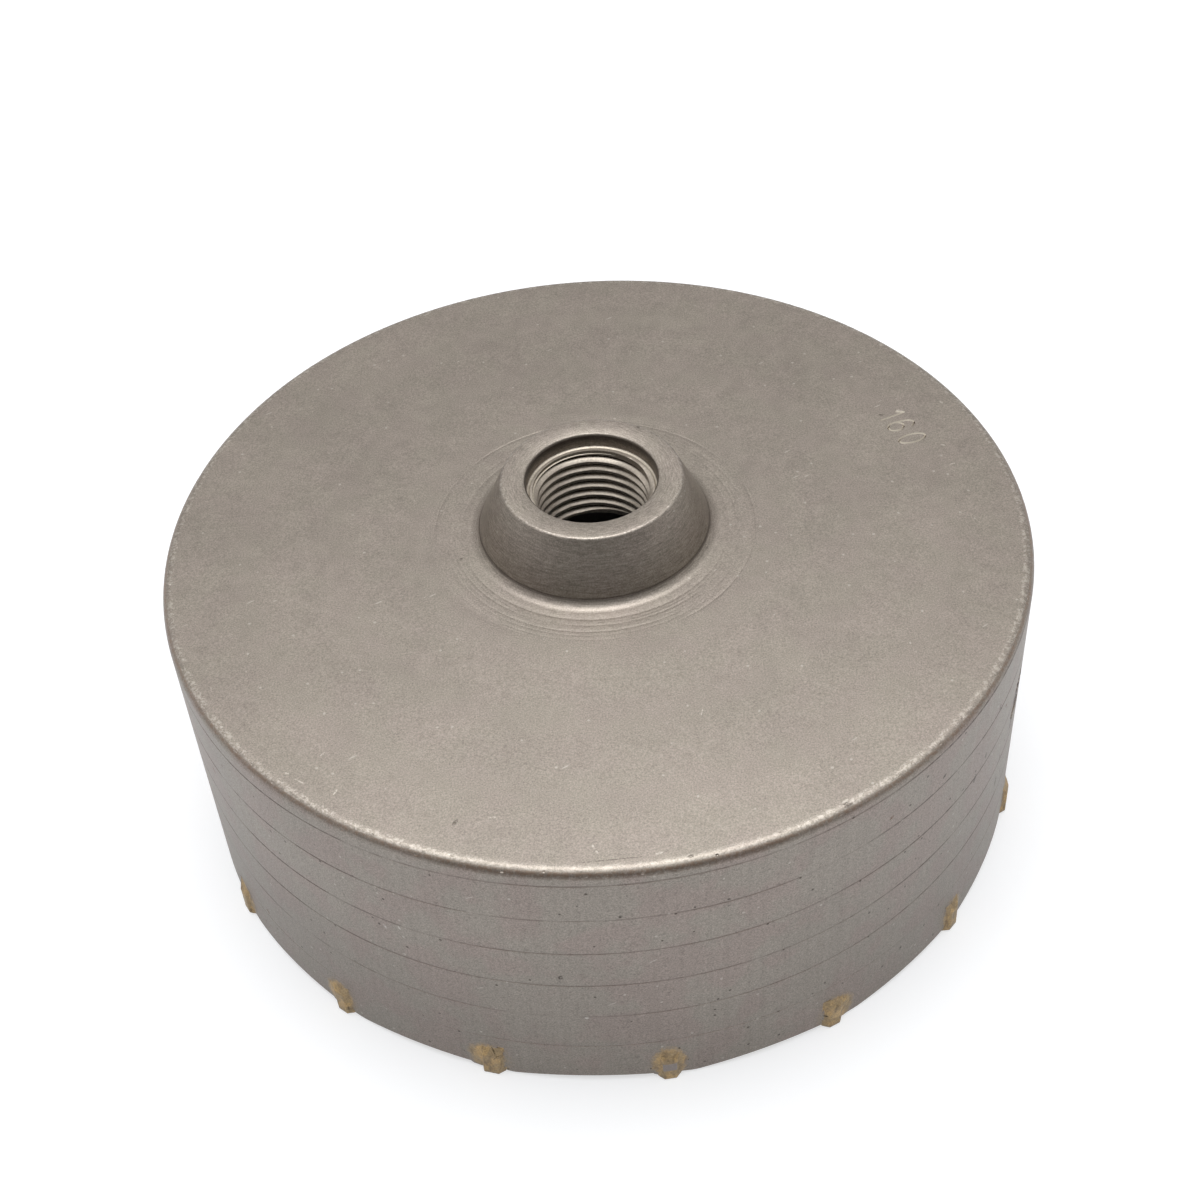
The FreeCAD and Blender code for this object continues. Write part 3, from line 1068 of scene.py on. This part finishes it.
    # The stamped strokes' walls are two-tone: pale bare steel with a painted highlight on walls facing back, painted
    # shade on walls facing the camera.
    towards_back = tree.step(tree.split(tree.normal())[1], -0.05, 0.08)
    stamp_highlight_and_shade_tone = tree.mix(towards_back, (0.66, 0.6, 0.5, 1.0), (0.1, 0.075, 0.055, 1.0))
    colour = tree.mix(stamped, colour, stamp_highlight_and_shade_tone)
    # Painted shade: a dark line in the crease where the boss cone meets its fillet.
    painted_crease_shade = tree.math("MULTIPLY", tree.step(radius, 20.8, 20.95), tree.step(radius, 21.2, 21.05))
    colour = tree.mix(tree.math("MULTIPLY", painted_crease_shade, 0.6), colour, grime_and_shade_colour)

    # Pale broken line on the boss's outer top edge: partly real wear, partly a painted highlight.
    boss_edge_wear_and_highlight = tree.math("MULTIPLY", tree.step(radius, 16.5, 16.3), tree.step(radius, 15.8, 16.0))
    boss_edge_wear_and_highlight = tree.math("MULTIPLY", boss_edge_wear_and_highlight, tree.step(height, boss_top_z - 0.9, boss_top_z - 0.3))
    boss_edge_wear_and_highlight = tree.math("MULTIPLY", boss_edge_wear_and_highlight, tree.step(ragged, 0.45, 0.62, 0.0, 0.3))
    colour = tree.mix(boss_edge_wear_and_highlight, colour, (0.66, 0.61, 0.55, 1.0))

    grain_bump = tree.bump(grain, 0.03, 0.5)
    turned_strength = tree.math("MULTIPLY", turned, tree.math("MULTIPLY_ADD", near_boss, 0.85, 0.15))
    turned_bump = tree.bump(turned_strength, 0.02, 0.5, grain_bump)
    roughness = tree.math("MULTIPLY_ADD", mottle, 0.12, 0.38)
    return tree.finish(colour, 0.88, roughness, turned_bump)


def thread_finish():
    """Steel of the thread: bright crests, and in the roots brown grime with painted shade."""
    tree = Finish("cut_thread")
    radius, angle, height = around(tree)
    grain = tree.noise(tree.position, 2.5, 3.0, 0.6)
    ragged = tree.math("MULTIPLY_ADD", grain, 0.5, radius)
    floor_z = boss_top_z - counterbore_depth
    # The roots are dark: partly real grime, partly painted shade under the crests.
    clean_and_unshaded = any_of(tree, [tree.step(ragged, 11.15, 10.75), tree.step(height, floor_z - 0.9, floor_z - 0.6)])
    bright = tree.scaled((0.5, 0.445, 0.38), tree.math("MULTIPLY_ADD", grain, 0.9, 0.55))
    colour = tree.mix(clean_and_unshaded, (0.085, 0.062, 0.045, 1.0), bright)
    return tree.finish(colour, 0.85, 0.36, tree.bump(grain, 0.03, 0.5))


def brass_tone(tree):
    """Colour of dull brazing brass, golden where it is rubbed and brown where it took up scale."""
    x, y, z = tree.split(tree.position)
    flow = tree.noise(tree.join(x, y, tree.math("MULTIPLY", z, 0.5)), 0.9, 4.0, 0.6)
    fine = tree.noise(tree.position, 3.4, 4.0, 0.75)
    blotch = tree.noise(tree.position, 0.55, 2.0)
    shade = tree.math("MULTIPLY_ADD", fine, 2.0, 0.05)
    golden = tree.mix(tree.step(blotch, 0.42, 0.62), brass_colour, (0.45, 0.315, 0.16, 1.0))
    brass = tree.scaled(golden, shade)
    return tree.mix(tree.step(flow, 0.48, 0.7, 0.0, 0.75), brass, (0.19, 0.14, 0.09, 1.0))


# Crack in the braze over one tip, dark spots on another, and a painted golden highlight on that other tip, as degrees
# and height
crack_marks = (
    ((-107.9, 7.3), (-107.13, 5.6), 0.16), ((-107.13, 5.6), (-106.6, 5.8), 0.1), ((-107.6, 4.6), (-107.13, 5.6), 0.1),
)
dark_spot_marks = (
    ((-64.22, 3.5), (-64.12, 3.45), 0.3), ((-65.05, 5.2), (-65.0, 5.1), 0.26),
)
gilt_highlight_marks = (
    ((-63.1, 3.0), (-62.0, 3.7), 0.9),
)


def marked_brass(tree, colour, angle, height):
    """Brass with the crack, the dark spots and the painted golden highlight that single tips show."""
    round_wall = mark_place(tree, tree.join(tree.math("MULTIPLY", angle, skirt_radius), height, 0.0))
    for marks, tone, share in (
        (crack_marks, (0.05, 0.035, 0.022, 1.0), 0.75),
        (dark_spot_marks, (0.03, 0.02, 0.012, 1.0), 0.85),
        # Painted highlight: a golden streak on one tip's braze.
        (gilt_highlight_marks, (0.7, 0.5, 0.26, 1.0), 0.6),
    ):
        shown = marks_mask(tree, *round_wall, unrolled(marks, skirt_radius))
        colour = tree.mix(tree.math("MULTIPLY", shown, share), colour, tone)
    return colour


def braze_finish():
    """Brazing brass that fades to bare steel at the rim of its mound, with dark flux specks."""
    tree = Finish("brazing_brass")
    radius, angle, height = around(tree)
    cover = tree.nodes.new("ShaderNodeAttribute")
    cover.attribute_name = "cover"
    ragged = tree.noise(tree.position, 1.6, 4.0, 0.65)
    covered = tree.math("MULTIPLY_ADD", tree.math("SUBTRACT", ragged, 0.5), 0.6, cover.outputs["Fac"])
    covered = tree.step(covered, 0.02, 0.34)
    bare_steel = plain_steel(tree, tree.noise(tree.position, 0.4, 3.0), radius, angle, height)
    colour = tree.mix(covered, bare_steel, brass_tone(tree))
    colour = marked_brass(tree, colour, angle, height)
    speck_distance, speck_number = tree.cells(tree.position, 0.6)
    specks = tree.math("MULTIPLY", tree.step(speck_distance, 0.2, 0.08), tree.step(speck_number, 0.8, 0.84))
    colour = tree.mix(tree.math("MULTIPLY", specks, 0.8), colour, (0.03, 0.02, 0.012, 1.0))
    fine = tree.noise(tree.position, 3.0, 3.0, 0.65)
    return tree.finish(colour, 0.8, 0.45, tree.bump(fine, 0.05, 0.5))


def tip_finish(name, bare_height):
    """Carbide coated with brass, but for a bare patch on its outer face between two heights, with painted shade at its
    foot.
    """
    tree = Finish(name)
    radius, angle, height = around(tree)
    low, high = bare_height
    fine = tree.noise(tree.position, 3.0, 3.0, 0.65)
    ragged = tree.math("MULTIPLY_ADD", tree.math("SUBTRACT", fine, 0.5), 0.5, height)
    patch = tree.math("MULTIPLY", tree.step(ragged, low - 0.1, low + 0.1), tree.step(ragged, high + 0.1, high - 0.1))
    patch = tree.math("MULTIPLY", patch, tree.step(radius, 79.66, 79.78))
    carbide = tree.scaled(carbide_colour[:3], tree.math("MULTIPLY_ADD", fine, 0.6, 0.7))
    brass = marked_brass(tree, brass_tone(tree), angle, height)
    colour = tree.mix(patch, brass, carbide)
    # Painted shade: the tip is darkened at its foot.
    edge = tree.step(height, 0.5, 0.1)
    colour = tree.mix(tree.math("MULTIPLY", edge, 0.5), colour, (0.1, 0.075, 0.05, 1.0))
    return tree.finish(colour, 0.75, 0.47, tree.bump(fine, 0.05, 0.5))


camera_glow = 0.56
mirror_glow = 0.4


def floor_finish():
    """White floor that keeps a soft shadow, shows white in the metal too, and stays dark under the cup."""
    tree = Finish("white_floor")
    radius = around(tree)[0]
    matte = tree.nodes.new("ShaderNodeBsdfDiffuse")
    matte.inputs["Color"].default_value = (0.5, 0.51, 0.53, 1.0)
    rays = tree.nodes.new("ShaderNodeLightPath").outputs
    mirrored = any_of(tree, [rays["Is Glossy Ray"], rays["Is Transmission Ray"]])
    shown = tree.math("ADD", tree.math("MULTIPLY", rays["Is Camera Ray"], camera_glow), tree.math("MULTIPLY", mirrored, mirror_glow))
    glow = tree.nodes.new("ShaderNodeEmission")
    glow.inputs["Color"].default_value = (1.0, 1.0, 1.0, 1.0)
    outside = tree.step(radius, inner_radius - 2, inner_radius)
    tree.put(glow.inputs["Strength"], tree.math("MULTIPLY", outside, shown))
    both = tree.nodes.new("ShaderNodeAddShader")
    tree.links.new(matte.outputs[0], both.inputs[0])
    tree.links.new(glow.outputs[0], both.inputs[1])
    output = tree.nodes.new("ShaderNodeOutputMaterial")
    tree.links.new(both.outputs[0], output.inputs["Surface"])
    return tree.material


def make_floor():
    """Wide floor that the bit stands on."""
    mesh = bpy.data.meshes.new("floor")
    reach = 4.0
    corners = [(-reach, -reach, 0), (reach, -reach, 0), (reach, reach, 0), (-reach, reach, 0)]
    mesh.from_pydata(corners, [], [(0, 1, 2, 3)])
    mesh.materials.append(floor_finish())
    floor = bpy.data.objects.new("floor", mesh)
    bpy.context.scene.collection.objects.link(floor)


# Light: tones of the studio as axis, low and high share of the direction, and strength at both
studio_tones = (
    ("Y", -0.95, -0.1, 0.19, 0.55, (1.0, 0.975, 0.95)),
    ("Z", 0.67, 0.98, 0.0, 1.4, (1.0, 1.025, 1.035)),
)


def make_world():
    """White for the camera. For everything else a pale studio, dim at the camera's side and bright above."""
    world = bpy.data.worlds.new("studio")
    bpy.context.scene.world = world
    world.use_nodes = True
    nodes = world.node_tree.nodes
    links = world.node_tree.links
    nodes.clear()
    direction = nodes.new("ShaderNodeTexCoord").outputs["Generated"]
    parts = nodes.new("ShaderNodeSeparateXYZ")
    links.new(direction, parts.inputs[0])
    total = None
    for axis, low, high, least, most, tint in studio_tones:
        tone = nodes.new("ShaderNodeMapRange")
        tone.interpolation_type = "SMOOTHSTEP"
        for name, number in (("From Min", low), ("From Max", high), ("To Min", least), ("To Max", most)):
            tone.inputs[name].default_value = number
        links.new(parts.outputs[axis], tone.inputs["Value"])
        tinted = nodes.new("ShaderNodeVectorMath")
        tinted.operation = "SCALE"
        tinted.inputs[0].default_value = tint
        links.new(tone.outputs[0], tinted.inputs["Scale"])
        if total is None:
            total = tinted.outputs[0]
            continue
        adding = nodes.new("ShaderNodeVectorMath")
        links.new(total, adding.inputs[0])
        links.new(tinted.outputs[0], adding.inputs[1])
        total = adding.outputs[0]
    studio = nodes.new("ShaderNodeBackground")
    studio.inputs["Strength"].default_value = 1.0
    links.new(total, studio.inputs["Color"])
    white = nodes.new("ShaderNodeBackground")
    white.inputs["Strength"].default_value = 1.0
    white.inputs["Color"].default_value = (1.0, 1.0, 1.0, 1.0)
    rays = nodes.new("ShaderNodeLightPath")
    choose = nodes.new("ShaderNodeMixShader")
    links.new(rays.outputs["Is Camera Ray"], choose.inputs[0])
    links.new(studio.outputs[0], choose.inputs[1])
    links.new(white.outputs[0], choose.inputs[2])
    output = nodes.new("ShaderNodeOutputWorld")
    links.new(choose.outputs[0], output.inputs["Surface"])


def softbox(name, place, width, depth, power):
    """Square lamp that faces the middle of the part."""
    light = bpy.data.lights.new(name, "AREA")
    light.shape = "RECTANGLE"
    light.size = width
    light.size_y = depth
    light.energy = power
    lamp = bpy.data.objects.new(name, light)
    bpy.context.scene.collection.objects.link(lamp)
    lamp.location = place
    aim = Vector((0, 0, 0.05)) - Vector(place)
    lamp.rotation_euler = aim.to_track_quat("-Z", "Y").to_euler()
    return lamp


def make_lights():
    softbox("overhead", (0.0, 0.1, 1.1), 0.6, 0.5, 4.0)
    softbox("left_side", (-1.0, 0.35, 0.7), 0.6, 0.6, 0.7)
    softbox("right_side", (1.0, 0.35, 0.7), 0.6, 0.6, 0.3)


# Camera, recovered from the outline of the cup in the photograph
camera_distance = 350.94
camera_elevation = 42.253
camera_pitch = -2.1417
camera_roll = 4.0367
camera_lens = 57.526


def make_camera():
    """Camera at the photograph's place and angle."""
    aim = Vector((0, 0, plate_edge_z))
    raised = math.radians(camera_elevation)
    place = aim + Vector((0, -math.cos(raised), math.sin(raised))) * camera_distance
    forward = (aim - place).normalized()
    right = forward.cross(Vector((0, 0, 1))).normalized()
    upward = right.cross(forward)
    pitch = Matrix.Rotation(math.radians(camera_pitch), 3, right)
    forward = pitch @ forward
    upward = pitch @ upward
    roll = Matrix.Rotation(math.radians(camera_roll), 3, forward)
    right = roll @ right
    upward = roll @ upward
    data = bpy.data.cameras.new("camera")
    data.lens = camera_lens
    data.sensor_width = 36.0
    data.sensor_fit = "HORIZONTAL"
    data.clip_start = 0.01
    data.clip_end = 20.0
    camera = bpy.data.objects.new("camera", data)
    bpy.context.scene.collection.objects.link(camera)
    camera.matrix_world = Matrix.Translation(place * MM) @ Matrix((right, upward, -forward)).transposed().to_4x4()
    bpy.context.scene.camera = camera


def main():
    steel = steel_finish()
    brass = braze_finish()
    coated = tip_finish("coated_carbide", (-2.0, -1.0))
    bare = tip_finish("bare_carbide", (2.7, 4.8))
    make_cup().data.materials.append(steel)
    make_thread().data.materials.append(thread_finish())
    for number in range(tip_count):
        tip = make_tip(number)
        tip.data.materials.clear()
        tip.data.materials.append(bare if number in (bare_tip, 5, 9) else coated)
        make_braze(number).data.materials.append(brass)
    make_floor()
    make_world()
    make_lights()
    make_camera()
    bpy.context.scene.view_settings.view_transform = "Standard"


main()
